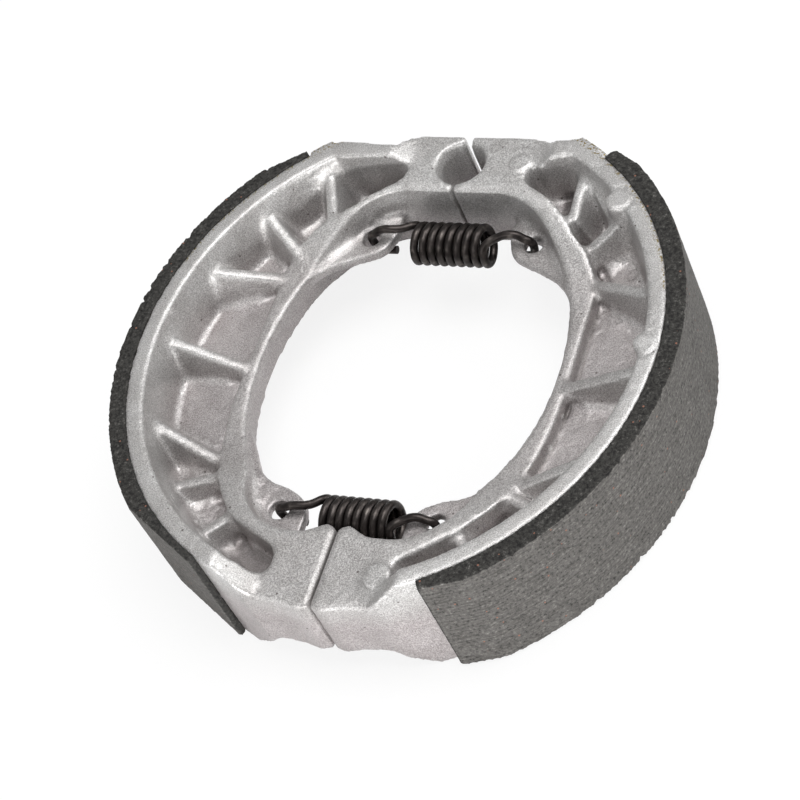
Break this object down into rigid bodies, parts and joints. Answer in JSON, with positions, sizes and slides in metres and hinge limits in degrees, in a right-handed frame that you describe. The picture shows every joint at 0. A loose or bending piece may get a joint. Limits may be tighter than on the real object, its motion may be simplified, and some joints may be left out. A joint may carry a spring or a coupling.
{
  "type": "drum brake shoe pair",
  "caption": "Pair of ribbed die-cast brake shoes with bonded curved linings, joined by hooked coil springs round an anchor pin hole, for a small drum brake.",
  "frame": {"origin": "drum axis, in the plane of the back rim faces", "axes": "+Z out of the front faces along the drum axis, +Y from the cam ends to the anchor pin ends, +X towards the right shoe as seen from the front"},
  "size_m": [0.1026, 0.0967, 0.024],
  "materials": {
    "left_shoe_casting": "as-cast die-cast aluminium, fine grained",
    "right_shoe_casting": "as-cast die-cast aluminium, fine grained",
    "left_lining": "moulded friction material with a ground drum face and fine metal specks",
    "right_lining": "moulded friction material with a ground drum face and fine metal specks",
    "anchor_spring": "oil-blackened spring steel wire",
    "cam_spring": "oil-blackened spring steel wire"
  },
  "bodies": {
    "left_shoe": {"left_shoe_casting": "left_shoe_casting", "left_lining": "left_lining", "anchor_spring": "anchor_spring", "cam_spring": "cam_spring"},
    "right_shoe": {"right_shoe_casting": "right_shoe_casting", "right_lining": "right_lining"}
  },
  "joints": [
    {"name": "shoe_pivot", "type": "hinge", "parent": "left_shoe", "child": "right_shoe", "pos_m": [0, 0.0405, 0.01505], "axis": [0, 0, 1], "range_deg": [0, 10], "stiffness_Nm_per_rad": 40, "springref_deg": -2.86, "deforming": ["anchor_spring", "cam_spring"]}
  ]
}
